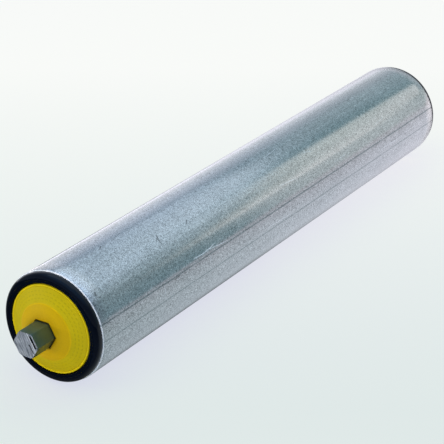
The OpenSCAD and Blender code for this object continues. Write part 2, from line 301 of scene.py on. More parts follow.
# %% [markdown]
# ## Light
# Plated steel shows its surroundings, so the lamps are placed for what the tube reflects. The
# camera looks along the roller, and every reflection on the tube leaves towards the far side. Nine
# dim panels hang over that side like a ceiling: cool ones near the roller, dimmer towards the
# right, and warm ones farther off, with one more upright panel on the far right. The key stands
# low at the front left, the fill lower still at the front right, and a weak lamp hangs over both.
# These three light the cap and the seal disc, and they are kept out of reflections.

# %% Lamps
def softbox(name, place, aim, size, radiance, color=(1, 1, 1), shine=True):
    """A rectangular lamp whose face has the given brightness. It can be kept out of reflections."""
    data = bpy.data.lights.new(name, "AREA")
    data.shape = "RECTANGLE"
    data.size, data.size_y = size
    data.energy = radiance * math.pi * size[0] * size[1]
    data.color = color
    lamp = bpy.data.objects.new(name, data)
    facing = (Vector(place) - Vector(aim)).to_track_quat("Z", "Y").to_matrix().to_4x4()
    lamp.matrix_world = Matrix.Translation(place) @ facing
    lamp.visible_camera = False
    lamp.visible_glossy = shine
    bpy.context.scene.collection.objects.link(lamp)
    return lamp


PANELS = (  # low x, high x, low y, high y, radiance, colour
    (-0.45, 0.16, -0.2, 0.45, 0.42, (0.86, 0.93, 1)),
    (-0.45, 0.16, 0.45, 0.74, 0.52, (0.84, 0.9, 1)),
    (0.16, 0.32, 0.0, 0.76, 0.42, (0.82, 0.9, 1)),
    (0.32, 0.46, 0.0, 0.8, 0.33, (0.82, 0.9, 1)),
    (0.46, 0.75, 0.0, 0.84, 0.16, (0.82, 0.9, 1)),
    (0.2, 0.5, 0.76, 0.95, 0.38, (1, 0.88, 0.76)),
    (0.2, 0.45, 0.95, 1.4, 0.42, (1, 0.88, 0.77)),
    (0.45, 1.15, 0.95, 1.4, 0.31, (1, 0.86, 0.74)),
    (0.2, 1.15, 1.4, 2.4, 0.44, (1, 0.86, 0.8)),
)
for i, (x0, x1, y0, y1, radiance, color) in enumerate(PANELS):
    x, y = (x0 + x1) / 2, (y0 + y1) / 2
    softbox(f"ceiling_{i}", (x, y, 0.6), (x, y, 0), (x1 - x0, y1 - y0), radiance, color)
softbox("far_wall", (1.05, 2.0, 0.3), (0, 2.0, 0.3), (1.6, 0.7), 0.29, (1, 0.84, 0.8))
softbox("key", (-1.1, -1.1, 0.22), (0, -0.15, 0), (1.0, 0.4), 4.8, (1, 0.97, 0.93), shine=False)
softbox("fill", (0.25, -1.3, 0.09), (0, -0.15, 0), (0.9, 0.16), 12, (1, 0.97, 0.93), shine=False)
softbox("top", (-0.35, -0.75, 1.3), (0, -0.1, 0), (1.0, 0.8), 0.5, (0.95, 0.97, 1), shine=False)

# %% [markdown]
# ## Room
# Beyond the panels the steel reflects the room, given by the angle round the roller's axis: a dim
# wall on the right, dimmer overhead, and a pale wall on the left. The far part of the room has
# colours of its own. On the camera's side the room is dark, with a blue patch high above, which
# puts a soft highlight on the top of the black cap. The camera itself sees none of this, but a
# plain pale backdrop with the table's own fall of light.

# %% Room
world = bpy.data.worlds.new("studio")
bpy.context.scene.world = world
world.use_nodes = True
room = Finish.of_tree(world.node_tree)
east, north, height = room.axes(room.add("ShaderNodeTexCoord", out="Generated"))
angle = height.apply("ARCTAN2", east) / math.pi
ahead = (north / 0.7).clamp()
far = ((north - 0.72) / 0.12).clamp()
overhead = room.ramp(
    angle.clamp(), (0, (0.21, 0.34, 0.39)), (0.11, (0.25, 0.36, 0.4)), (0.22, (0.28, 0.39, 0.43)),
    (0.4, (0.24, 0.35, 0.41)), (0.57, (0.17, 0.27, 0.34)), (0.68, (0.14, 0.25, 0.34)),
    (0.79, (0.62, 0.71, 0.85)), (0.9, (0.8, 0.86, 0.97)), (1, (1.0, 1.02, 1.08)),
)
far_overhead = room.ramp(
    angle.clamp(), (0, (0.33, 0.45, 0.48)), (0.22, (0.34, 0.44, 0.46)), (0.36, (0.28, 0.4, 0.43)),
    (0.44, (0.21, 0.34, 0.38)), (0.57, (0.34, 0.46, 0.51)), (0.7, (0.4, 0.51, 0.56)),
    (0.8, (0.43, 0.5, 0.56)), (0.92, (0.66, 0.71, 0.77)), (1, (0.95, 0.98, 1.05)),
)
zenith = ((height - 0.55) / 0.3).clamp()
raised = ((height - 0.1) / 0.25).clamp()
behind = room.mix(raised, (0.17, 0.2, 0.24, 1), (0.13, 0.165, 0.22, 1))
behind = room.mix(zenith, behind, (0.24, 0.42, 0.7, 1))
sky = room.mix(ahead, behind, room.mix(far, overhead, far_overhead))
end_wall = ((north - 0.9) / 0.08).clamp()
sky = room.mix(end_wall * 0.3, sky, (0.8, 0.82, 0.86, 1))
toward = north * right.x - east * right.y
backdrop = room.mix((toward * 3 + 0.5).clamp(), BACKDROP_LOW, BACKDROP_HIGH)
camera_ray = room.add("ShaderNodeLightPath")
sky = room.mix(camera_ray, sky, backdrop)
room.link(sky, world.node_tree.nodes["Background"].inputs["Color"])
bpy.context.scene.view_settings.view_transform = "Standard"
print("room with", len(world.node_tree.nodes), "nodes")

# %% [markdown]
# ## Zinc-plated steel
# The tube is steel with a thin bright zinc coat. It is drawn, welded along one line, and handled
# a lot, so it is never a clean mirror. Four things are laid over each other: soft clouds where
# the coat took differently, a fine grain, long draw marks along the tube, and the strip where
# the weld was scraped flat, which shows as two thin dark lines. Then come the marks of use: a few
# scratches and scuffs, each at its own place, given by an angle round the tube and a distance
# along it, because that is how it would be marked on the real one.

# %% Zinc
def mark(across, along, angle, y, length, width, turn=0.0, bend=0.0):
    """1 on a thin mark at a place on the tube, fading to 0 at its sides and ends."""
    c, s = math.cos(math.radians(turn)), math.sin(math.radians(turn))
    du, dv = along - y, across - math.radians(angle) * tube_r
    u = du * c + dv * s
    v = dv * c - du * s + u * u * bend
    side = (1 - abs(v) / (width / 2)).clamp()
    tip = ((1 - abs(u) / (length / 2)) * 3).clamp()
    return side * tip


zinc = Finish("zinc_steel")
place = zinc.place()
x, along, z = zinc.axes(place)
across = z.apply("ARCTAN2", x) * tube_r
cloud = zinc.noise(place, 42, 4, 0.6)
grain = zinc.noise(place, 760, 4, 0.75)
speck = zinc.noise(place, 2200, 1)
drawn = zinc.noise(zinc.stretched(place, (1, 0.03, 1)), 520, 3, 0.6)
wander = zinc.noise(zinc.stretched(place, (0, 1, 0)), 34, 2) * 0.5 * mm

# the weld strip's two edges, broken here and there
patchy = zinc.noise(zinc.stretched(place, (0, 1, 0)), 90, 3) * 1.9
upper_line = (1 - abs(across + wander - math.radians(16.8) * tube_r) / (0.55 * mm)).clamp()
lower_line = (1 - abs(across - wander + math.radians(1.5) * tube_r) / (0.45 * mm)).clamp()
weld = upper_line.apply("MAXIMUM", lower_line * 0.8) * patchy.clamp()

# marks: angle round the tube, place along it, length, width (mm), turn (degrees) and bend (1/m)
SCRATCHES = (
    (21, -73, 19, 0.5, 3, -10), (19.8, -64, 18, 0.35, -6, -4), (10.3, -105.4, 4.6, 0.3, 80, 0),
    (10.4, -70.2, 3.4, 0.3, 70, 0), (35.4, 3, 16, 0.3, -5, 0), (2.8, -13, 24, 0.24, -2, 0),
    (-3.6, 28, 9, 0.24, 0, 0), (52, 30, 8, 0.2, -14, 0), (38, 96, 12, 0.2, 6, 0),
    (75, 10, 14, 0.2, 4, 0), (6, 100, 20, 0.2, -1, 0), (26, 50, 15, 0.2, 2, 0),
)
SCUFFS = (
    (57, -94.4, 6.5, 0.9, 72, 60), (58.6, -94.6, 4.4, 0.7, 25, 0), (57.3, -72.6, 3.2, 0.9, 40, 0),
    (84.2, -121, 3.6, 0.8, 30, 0), (45, -145, 2.6, 1.6, 60, 0), (93.6, 118, 14, 0.35, 0, 0),
    (86.5, -108, 8, 0.35, 10, 0), (66, 88, 3, 0.5, 30, 0), (14.5, -96, 5, 0.9, 4, 0),
)


def marks(table, along, across):
    """All marks of a table in one wire."""
    total = None
    for angle, y, length, width, turn, bend in table:
        one = mark(across, along, angle, y * mm, length * mm, width * mm, turn, bend)
        total = one if total is None else total.apply("MAXIMUM", one)
    return total


scratch = marks(SCRATCHES, along, across)
scuff = marks(SCUFFS, along, across) * (grain * 1.6).clamp()

# the coat carries a painted highlight over a part of each end, and bare steel shows on the cut edge,
# painted lighter as a highlight
near_end_highlight = ((along * -1 - (tube_half - 9 * mm)) / (6 * mm)).clamp()
near_end_highlight = near_end_highlight * ((across - 17 * mm) / (6 * mm)).clamp()
far_end_highlight = ((along - (tube_half - 8 * mm)) / (6 * mm)).clamp()
far_end_highlight = far_end_highlight * ((20 * mm - across) / (4 * mm)).clamp()
painted_end_highlight = near_end_highlight + far_end_highlight
# the cut edge is bare steel, and a painted highlight lightens it further
bare_edge_and_highlight = ((abs(along) - (tube_half - 0.56 * mm)) / (0.12 * mm)).clamp()

shade = 0.98 + (cloud - 0.5) * 0.26 + (grain - 0.5) * 1.3 + (drawn - 0.5) * 0.24
shade = shade + (speck - 0.5) * 2.2
shade = shade * (1 - scuff * 0.85) + scratch * 1.7
# painted highlight on the cut edge
shade = shade + bare_edge_and_highlight * 0.8
coat = zinc.mix(cloud, (0.57, 0.605, 0.62, 1), (0.605, 0.61, 0.625, 1))
# painted highlight: the coat lightened over a part of each end
coat = zinc.mix(painted_end_highlight, coat, (0.86, 0.83, 0.8, 1))
coat = zinc.mix(weld * 0.8, coat, (0.14, 0.2, 0.21, 1))
rough = 0.19 + (grain - 0.5) * 0.3 + (cloud - 0.5) * 0.1
rough = rough + weld * 0.12 + scratch * 0.2 + bare_edge_and_highlight * 0.2
relief = grain * 0.8 + drawn * 0.5 - scratch * 0.4 - weld * 0.2

# the last millimetres of the tube are rolled in a hair over the housing, so they turn the light
roll = (abs(along) - (tube_half - 7 * mm)).apply("MAXIMUM", 0.0)
rolled = zinc.bump(roll * roll * -14.0, 1.0)
zinc.set(
    Base_Color=zinc.tinted(coat, shade),
    Metallic=1 - bare_edge_and_highlight * 0.75 - scratch * 0.5,
    Roughness=rough,
    Normal=zinc.bump(relief, 0.012 * mm, normal=rolled),
)
print(len(SCRATCHES), "scratches,", len(SCUFFS), "scuffs,", len(zinc.tree.nodes), "nodes")

# %% [markdown]
# ## Black and yellow plastic
# The caps are a glossy black polymer, the colour of ink. Only its shine is seen, so the base is
# nearly black and the detail is in the roughness: a slight haze, and fine turning lines that the
# mould left. The discs are a softer, dull yellow. Inside the step the yellow is a little deeper,
# on the outer slope run three faint rings of small raised dashes, and the whole has a fine
# moulded grain.

# %% Plastics
black = Finish("black_plastic", Specular_IOR_Level=0.35)
place = black.place()
x, y, z = black.axes(place)
radius = (x * x + z * z).apply("POWER", 0.5)
haze = black.noise(place, 160, 4, 0.6)
fine = black.noise(place, 2600, 2)
rings = (radius * (math.tau / (0.35 * mm))).apply("SINE")
black.set(
    Base_Color=black.mix(haze, (0.0003, 0.0015, 0.0055, 1), (0.0007, 0.0034, 0.011, 1)),
    Roughness=0.06 + haze * 0.07 + fine * 0.03,
    Normal=black.bump(fine * 0.7 + rings * 0.12, 0.004 * mm),
)

yellow = Finish("yellow_plastic", Specular_IOR_Level=0.12)
place = yellow.place()
x, y, z = yellow.axes(place)
radius = (x * x + z * z).apply("POWER", 0.5)
around = z.apply("ARCTAN2", x)
tone = yellow.noise(place, 110, 3, 0.6)
pores = yellow.noise(place, 1500, 3, 0.7)
inner = ((13.4 * mm - radius) / (1.0 * mm)).clamp()
deep = ((10.5 * mm - radius) / (3 * mm)).clamp()
dashes = None
DASH_RINGS = ((14.6, 46, 0.0), (16.0, 50, 1.1), (17.4, 55, 2.3))  # radius (mm), dashes, turn
for ring_r, count, turn in DASH_RINGS:
    ridge = (1 - abs(radius - ring_r * mm) / (0.34 * mm)).clamp()
    gaps = ((around * count + turn).apply("SINE") * 2.2 + 1.2).clamp()
    one = ridge * gaps
    dashes = one if dashes is None else dashes + one
dashes = dashes * (tone * 2.4 - 0.5).clamp()

# painted highlights: the step and the raised lip are lighter along their edges
step_and_lip_highlight = (1 - abs(radius - 12.7 * mm) / (0.3 * mm)).clamp() * 0.3
step_and_lip_highlight = step_and_lip_highlight + (1 - abs(radius - 19.6 * mm) / (0.4 * mm)).clamp() * 0.35

# a painted shadow: a dark line where the disc meets the flats of the axle
across_flats = None
for degrees in (90, 30, -30):
    c, s = math.cos(math.radians(degrees)), math.sin(math.radians(degrees))
    one = abs(x * c + z * s)
    across_flats = one if across_flats is None else across_flats.apply("MAXIMUM", one)
# painted shadow along the gap round the axle's flats
gap_shadow = (1 - (across_flats - axle_flat - 0.3 * mm) / (0.5 * mm)).clamp()

skin_color = yellow.mix(inner, (0.66, 0.5, 0.004, 1), (0.75, 0.46, 0.003, 1))
skin_color = yellow.mix(deep, skin_color, (0.66, 0.4, 0.004, 1))
# the mottle carries the painted highlights of the step and lip
mottle_and_highlight = 0.98 + (tone - 0.5) * 0.2 + (pores - 0.5) * 0.2 - dashes * 0.22 + step_and_lip_highlight
yellow.set(
    Base_Color=yellow.tinted(skin_color, mottle_and_highlight * (1 - gap_shadow * 0.8)),
    Roughness=0.42 + (pores - 0.5) * 0.2 - dashes * 0.1,
    Normal=yellow.bump(pores * 0.25 + dashes, 0.05 * mm),
)
print("black", len(black.tree.nodes), "nodes, yellow", len(yellow.tree.nodes), "nodes")

# %% [markdown]
# ## Axle steel
# The axle is bare cold-drawn steel with an oily, greenish-dark skin. Draw marks run along its
# flats. The ends are sawn, so they are bright and full of short strokes in one direction. The two
# saw scores are painted dark inside as shade, and a white strip of painted highlight stands
# beside the longer one.

# %% Axle steel
axle_steel = Finish("axle_steel")
place = axle_steel.place()
x, y, z = axle_steel.axes(place)
skin = axle_steel.noise(place, 130, 4, 0.6)
draw = axle_steel.noise(axle_steel.stretched(place, (1, 0.04, 1)), 1500, 3, 0.7)
saw_axes = {"Vector": place, "Rotation": (0, math.radians(-30), 0)}
turned = axle_steel.add("ShaderNodeMapping", {"vector_type": "TEXTURE"}, saw_axes)
strokes = axle_steel.noise(axle_steel.stretched(turned, (1, 1, 0.07)), 3200, 3, 0.7)
sawn = ((abs(y) - (axle_half - 0.12 * mm)) / (0.08 * mm)).clamp()
radius = (x * x + z * z).apply("POWER", 0.5)
# painted shade: the walls inside the saw scores are darkened
score_shade = ((abs(y) - (axle_half - 1.2 * mm)) / (0.1 * mm)).clamp()
score_shade = score_shade * radius.below(5.3 * mm) * (1 - sawn)
body_color = axle_steel.mix(skin, (0.075, 0.135, 0.125, 1), (0.21, 0.3, 0.26, 1))
face_color = axle_steel.ramp(strokes, (0.35, (0.09, 0.11, 0.13)), (0.65, (0.72, 0.74, 0.77)))
# painted highlight: a white strip beside the longer score
strip_across = x * math.cos(math.radians(30)) + z * math.sin(math.radians(30))
white_strip_highlight = (1 - abs(strip_across - 3.5 * mm) / (0.35 * mm)).clamp() * sawn
face_color = axle_steel.mix(white_strip_highlight, face_color, (1, 1, 1, 1))
steel_color = axle_steel.mix(sawn, body_color, face_color)
axle_steel.set(
    Base_Color=axle_steel.tinted(steel_color, 1 - score_shade * 0.95),
    Metallic=0.85 - sawn * 0.5,
    Roughness=0.3 + draw * 0.12 + sawn * 0.16,
    Normal=axle_steel.bump(draw * (1 - sawn) * 0.5 + strokes * sawn, 0.02 * mm),
)
print("axle steel", len(axle_steel.tree.nodes), "nodes")

# %% [markdown]
# ## Finishes inside
# Bearing steel, rubber, nylon and spring wire only show when the roller is taken apart, but each
# has its own colour and grain. One helper makes them: a noise at the right scale drives colour,
# roughness and a little relief together.

# %% Inner finishes
def grained(name, low, high, scale, rough, relief, metal=0.0):
    """A finish between two greys or tints (low, high) that follows one fine grain throughout."""
    finish = Finish(name, Metallic=metal)
    grain = finish.noise(finish.place(), scale, 4, 0.6)
    finish.set(
        Base_Color=finish.mix(grain, (*low, 1), (*high, 1)),
        Roughness=rough[0] + grain * (rough[1] - rough[0]),
        Normal=finish.bump(grain, relief * mm),
    )
    print(name, "ready")
    return finish


bearing_steel = grained(
    "bearing_steel", (0.5, 0.51, 0.53), (0.68, 0.68, 0.7), 700, (0.1, 0.22), 0.002, metal=1.0
)
rubber = grained(
    "shield_rubber", (0.012, 0.012, 0.013), (0.03, 0.03, 0.032), 900, (0.5, 0.7), 0.01
)
cage_plastic = grained(
    "cage_plastic", (0.42, 0.36, 0.22), (0.55, 0.48, 0.32), 500, (0.4, 0.55), 0.01
)
bush_plastic = grained(
    "bush_plastic", (0.55, 0.55, 0.52), (0.68, 0.68, 0.65), 400, (0.35, 0.5), 0.01
)
washer_steel = grained(
    "washer_steel", (0.4, 0.41, 0.42), (0.6, 0.61, 0.62), 600, (0.24, 0.4), 0.006, metal=1.0
)
spring_steel = grained(
    "spring_steel", (0.2, 0.2, 0.21), (0.36, 0.36, 0.38), 800, (0.25, 0.4), 0.006, metal=1.0
)

# %% [markdown]
# ## Helpers for turned and moulded rings
# Everything round on this roller is a ring with some profile: the tube, the cap, the seal disc.
# The profile could be spun, but a ring that is extruded and scaled step by step stays a clean
# grid of quads without a seam. `lathe` starts with a circle at the first point of the profile,
# extrudes it to each next point, and closes on itself. A bevel then rounds each corner, because
# no moulded or turned edge is perfectly sharp.

# %% Lathe
RING_STEPS = 192
ENDS = (("near", -1), ("far", 1))


def only(piece):
    """Selects one object and nothing else."""
    bpy.ops.object.select_all(action="DESELECT")
    piece.select_set(True)
    bpy.context.view_layer.objects.active = piece


def close_mesh(piece):
    """Merges doubled points and turns all faces outwards."""
    only(piece)
    bpy.ops.object.mode_set(mode="EDIT")
    bpy.ops.mesh.select_all(action="SELECT")
    bpy.ops.mesh.remove_doubles(threshold=1e-6)
    bpy.ops.mesh.normals_make_consistent(inside=False)
    bpy.ops.object.mode_set(mode="OBJECT")


def lathe(name, profile):
    """A closed ring about the Y axis from its half profile, a list of (radius, y)."""
    radius, y = profile[0]
    bpy.ops.object.select_all(action="DESELECT")
    bpy.ops.mesh.primitive_circle_add(
        vertices=RING_STEPS, radius=radius, location=(0, y, 0), rotation=(math.pi / 2, 0, 0)
    )
    piece = bpy.context.active_object
    piece.name = name
    bpy.ops.object.transform_apply(location=True, rotation=True, scale=True)
    bpy.ops.object.mode_set(mode="EDIT")
    bpy.ops.mesh.select_all(action="SELECT")
    for next_radius, next_y in profile[1:] + profile[:1]:
        bpy.ops.mesh.extrude_edges_move(TRANSFORM_OT_translate={"value": (0, next_y - y, 0)})
        scale = next_radius / radius
        bpy.ops.transform.resize(value=(scale, 1, scale), center_override=(0, next_y, 0))
        radius, y = next_radius, next_y
    bpy.ops.object.mode_set(mode="OBJECT")
    close_mesh(piece)
    return piece


def soften(piece, width, angle=25, segments=3):
    """Rounds every edge sharper than the angle and shades the rest smoothly."""
    only(piece)
    bevel = piece.modifiers.new("edges", "BEVEL")
    bevel.width = width
    bevel.segments = segments
    bevel.limit_method = "ANGLE"
    bevel.angle_limit = math.radians(angle)
    bpy.ops.object.modifier_apply(modifier=bevel.name)
    bpy.ops.object.shade_smooth_by_angle(angle=math.radians(35))


def combine(piece, tool, operation):
    """Adds, cuts or intersects a second solid and removes it."""
    only(piece)
    solid = piece.modifiers.new("solid", "BOOLEAN")
    solid.operation = operation
    solid.solver = "EXACT"
    solid.object = tool
    bpy.ops.object.modifier_apply(modifier=solid.name)
    bpy.data.objects.remove(tool)
    close_mesh(piece)


def seat(piece, finish, body, slot, *replaced):
    """Gives a piece its finish and its body, and hides the nodes it stands for. The slot is not used.
    """
    piece.data.materials.clear()
    piece.data.materials.append(finish.material)
    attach(piece, body)
    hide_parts(*replaced)
    sizes = [round(d / mm, 2) for d in piece.dimensions]
    print(piece.name, sizes, "mm,", len(piece.data.polygons), "faces")


print("helpers ready,", RING_STEPS, "steps to a ring")

# %% [markdown]
# ## Tube
# The roller's shell is a welded steel tube, 1.5 mm thick, cut square and lightly deburred on its
# outer edge. It is one turned ring: bore, end face, chamfer, outer skin and back.

# %% Tube
tube_wall = 1.5 * mm
tube_edge = 0.45 * mm
tube_bore = tube_r - tube_wall
tube = lathe("roller_tube", [
    (tube_bore, -tube_half), (tube_r - tube_edge, -tube_half), (tube_r, tube_edge - tube_half),
    (tube_r, tube_half - tube_edge), (tube_r - tube_edge, tube_half), (tube_bore, tube_half),
])
soften(tube, 0.22 * mm)
seat(tube, zinc, "shell", "zinc_steel", "tube")

# %% [markdown]
# ## Bearing housings
# Each end of the tube is closed by one moulding. Outside, its cap covers the tube's cut edge and
# rises in an arc to a nose round the mouth. Inside, a plug with crush ribs grips the tube, a web
# lies over the ball bearing, a sleeve with a snap lip holds it, and a thin ring stands in the
# space under the seal disc, so that dirt has to find its way through a labyrinth. All of that is
# one profile. Only the ribs are not round: one rib is made, copied round the axis, and joined on.

# %% Housing profile
nose_r, nose_h = 22.4 * mm, 3.6 * mm
cap_r, cap_band = 24.6 * mm, 0.9 * mm
nose_lip, nose_step = 0.4 * mm, 0.3 * mm
mouth_r = 20.6 * mm
web_out, web_in = -1.2 * mm, -3.2 * mm
plug_r, plug_in = tube_bore - 0.4 * mm, tube_bore - 2 * mm
plug_end, plug_lead = -17 * mm, 0.6 * mm
seat_r, sleeve_r = 16 * mm, 17.8 * mm
sleeve_end, snap = -13.4 * mm, 0.35 * mm
bearing_in = -12.2 * mm
web_hole = 14.5 * mm
maze_in, maze_out, maze_top = 17.6 * mm, 18.4 * mm, 1.8 * mm


def arc(center, radius, start, end, steps):
    """Points of an arc in the half profile, its angles counted from the outward direction."""
    turns = [start + (end - start) * i / steps for i in range(steps + 1)]
    return [(center[0] + radius * math.cos(a), center[1] + radius * math.sin(a)) for a in turns]


rise, run = nose_h - cap_band, cap_r - nose_r
bow = (run * run + rise * rise) / (2 * run)
nose = arc((cap_r - bow, cap_band), bow, math.asin(rise / bow), 0, 12)
housing_profile = [
    (mouth_r, web_out), (mouth_r, nose_h - nose_step), (nose_r - nose_lip, nose_h - nose_step),
    (nose_r - nose_lip, nose_h), *nose, (cap_r, 0), (plug_r, 0), (plug_r, plug_end + plug_lead),
    (plug_r - plug_lead, plug_end), (plug_in + plug_lead / 2, plug_end),
    (plug_in, plug_end + plug_lead), (plug_in, web_in), (sleeve_r, web_in),
    (sleeve_r, sleeve_end), (seat_r + 0.2 * mm, sleeve_end), (seat_r - snap, bearing_in - snap),
    (seat_r, bearing_in), (seat_r, web_in), (web_hole, web_in), (web_hole, web_out),
    (maze_in, web_out), (maze_in, maze_top), (maze_out, maze_top), (maze_out, web_out),
]
print("nose arc", round(bow / mm, 2), "mm,", len(housing_profile), "points")

# %% [markdown]
# ### Ribs and caps
# Eighteen crush ribs stand on the plug, narrowed at their deep end so that they find their way
# into the tube. Twelve ribs stiffen the web between the sleeve and the plug. Both kinds start as a
# block whose deep face is drawn in, as a mould needs it, and which is then copied round the axis.
# They sink a little into the ring, so the union has a real overlap to work with.

# %% Ribs and caps
def ribs(count, shift, inner, outer, width, low, high, draw, side):
    """Radial ribs round the axis: one block, drawn in at its deep end, and its copies."""
    middle = ((inner + outer) / 2, side * (tube_half + (low + high) / 2), 0)
    bpy.ops.object.select_all(action="DESELECT")
    bpy.ops.mesh.primitive_cube_add(size=1, location=middle)
    block = bpy.context.active_object
    block.scale = (outer - inner, high - low, width)
    bpy.ops.object.transform_apply(location=True, rotation=True, scale=True)
    deep = side * (tube_half + low)
    bpy.ops.object.mode_set(mode="EDIT")
    bpy.ops.mesh.select_all(action="DESELECT")
    bpy.ops.object.mode_set(mode="OBJECT")
    for vertex in block.data.vertices:
        vertex.select = abs(vertex.co.y - deep) < 1e-6
    bpy.ops.object.mode_set(mode="EDIT")
    bpy.ops.transform.resize(value=(draw[0], 1, draw[1]), center_override=(inner, deep, 0))
    bpy.ops.mesh.select_all(action="SELECT")
    turn = math.tau / count
    bpy.ops.transform.rotate(value=shift * turn, orient_axis="Y", center_override=(0, 0, 0))
    for _ in range(1, count):
        bpy.ops.mesh.duplicate()
        bpy.ops.transform.rotate(value=turn, orient_axis="Y", center_override=(0, 0, 0))
    bpy.ops.object.mode_set(mode="OBJECT")
    return block


CRUSH_RIBS, CRUSH_DRAW, crush_w = 18, (0.5, 0.6), 1.2 * mm
crush_low, crush_high = -16.2 * mm, 0.3 * mm
WEB_RIBS, WEB_DRAW, web_w = 12, (1, 0.8), 1.4 * mm
web_low, web_high = -13 * mm, -2.7 * mm
sunk = 0.3 * mm
for end, side in ENDS:
    cap = lathe(end + "_cap", [(r, side * (tube_half + z)) for r, z in housing_profile])
    soften(cap, 0.12 * mm)
    crush = (plug_r - sunk, tube_bore, crush_w, crush_low, crush_high)
    combine(cap, ribs(CRUSH_RIBS, 0, *crush, CRUSH_DRAW, side), "UNION")
    web = (sleeve_r - sunk, plug_in + sunk, web_w, web_low, web_high)
    combine(cap, ribs(WEB_RIBS, 0.5, *web, WEB_DRAW, side), "UNION")
    bpy.ops.object.shade_smooth_by_angle(angle=math.radians(35))
    seat(cap, black, "shell", "black_plastic", end + "_housing")

# %% [markdown]
# ## Seal discs
# The yellow disc stands in the cap's mouth, turns with the axle and keeps dirt out. It is a
# shallow dome in two steps, with a small raised lip round its rim. Two rings under it run on each
# side of the housing's ring, and a hub reaches down to the bearing. The dome's two slopes are a
# little crowned, as a moulding is. The hexagonal hole is cut through a finished ring, because
# a solid cut leaves the round surfaces untouched, and its rim is bevelled with the other edges.

# %% Seal disc profile
seal_r, seal_low = 20.1 * mm, -0.6 * mm
lip_h, lip_in = 3.2 * mm, 19.55 * mm
dome_r, dome_h = 19.0 * mm, 3.25 * mm
step_r, step_h = 12.5 * mm, 6.2 * mm
foot_r, foot_h = 12.85 * mm, 5.8 * mm
top_r, top_h = 7.8 * mm, 8.0 * mm
hub_r, blind_r = 9.4 * mm, 3.0 * mm
ring_in, ring_t, skin = 15.9 * mm, 0.8 * mm, 1.4 * mm


def crown(start, end, height, steps=6):
    """Points of a slightly crowned slope between two points, without its start."""
    points = []
    for i in range(1, steps + 1):
        t = i / steps
        lift = 4 * height * t * (1 - t)
        r = start[0] + (end[0] - start[0]) * t
        z = start[1] + (end[1] - start[1]) * t
        points.append((r, z + lift))
    return points


def under(r):
    """Height of the dome's under side at a radius."""
    return dome_h + (foot_h - dome_h) * (dome_r - r) / (dome_r - foot_r) - skin


seal_profile = [
    (seal_r, seal_low), (seal_r, lip_h - 0.3 * mm), (seal_r - 0.2 * mm, lip_h), (lip_in, lip_h),
    (lip_in - 0.15 * mm, lip_h - 0.25 * mm), (lip_in - 0.35 * mm, lip_h - 0.25 * mm),
    (dome_r, dome_h), *crown((dome_r, dome_h), (foot_r, foot_h), 0.12 * mm),
    (step_r, step_h), *crown((step_r, step_h), (top_r, top_h), 0.15 * mm),
    (blind_r, top_h), (blind_r, web_in), (hub_r, web_in), (hub_r, under(step_r) + 0.6 * mm),
    (step_r, under(step_r)), (ring_in, under(ring_in)), (ring_in, seal_low),
    (ring_in + ring_t, seal_low), (ring_in + ring_t, under(ring_in + ring_t)),
    (seal_r - ring_t, under(seal_r - ring_t)), (seal_r - ring_t, seal_low),
]
print("seal disc", round((top_h - seal_low) / mm, 2), "mm high,", len(seal_profile), "points")

# %% [markdown]
# ### The hexagonal hole
# A cylinder with six sides is a hexagonal bar. The same helper makes the cutter for the hole, a
# little larger than the axle, and later the axle itself.

# %% Seal discs
def hexagon(name, flat, low, high):
    """A hexagonal bar along Y, measured from its axis to its flats, a corner towards +X."""
    bpy.ops.object.select_all(action="DESELECT")
    bpy.ops.mesh.primitive_cylinder_add(
        vertices=6, radius=flat / math.cos(math.radians(30)), depth=high - low,
        location=(0, (low + high) / 2, 0), rotation=(math.pi / 2, math.radians(30), 0),
    )
    bar = bpy.context.active_object
    bar.name = name
    bpy.ops.object.transform_apply(location=True, rotation=True, scale=True)
    return bar


hole_flat = axle_flat + 0.3 * mm
hole_reach = 20 * mm
for end, side in ENDS:
    seal = lathe(end + "_seal", [(r, side * (tube_half + z)) for r, z in seal_profile])
    hole_middle = side * tube_half
    hole = hexagon("hole", hole_flat, hole_middle - hole_reach, hole_middle + hole_reach)
    combine(seal, hole, "DIFFERENCE")
    soften(seal, 0.1 * mm, angle=22)
    seat(seal, yellow, "inner_races", "yellow_plastic", end + "_seal_disc")

# %% [markdown]
# ## Axle
# The axle is a cold-drawn hexagonal bar, so its six long edges are slightly rounded. Both ends
# are sawn off and turned: the chamfer reaches only the corners. Two turned necks hold the clips.
# A bevelled hexagon is intersected with a turned blank, which leaves exactly the curved facets
# that a chamfering tool leaves on a hexagon. The saw also left two scores in the near end, given
# by their place beside the axis, start, length, width and depth.

# %% Axle
def pick(piece, wanted):
    """Enters edit mode with only the wanted faces selected."""
    only(piece)
    bpy.ops.object.mode_set(mode="EDIT")
    bpy.ops.mesh.select_mode(type="FACE")
    bpy.ops.mesh.select_all(action="DESELECT")
    bpy.ops.object.mode_set(mode="OBJECT")
    for face in piece.data.polygons:
        face.select = wanted(face)
    bpy.ops.object.mode_set(mode="EDIT")


end_r, end_chamfer = 5.95 * mm, 0.6 * mm
neck_r, neck_gap = 5.2 * mm, 0.05 * mm
blank_r = axle_flat / math.cos(math.radians(30)) + 0.2 * mm
straight = axle_half - end_chamfer

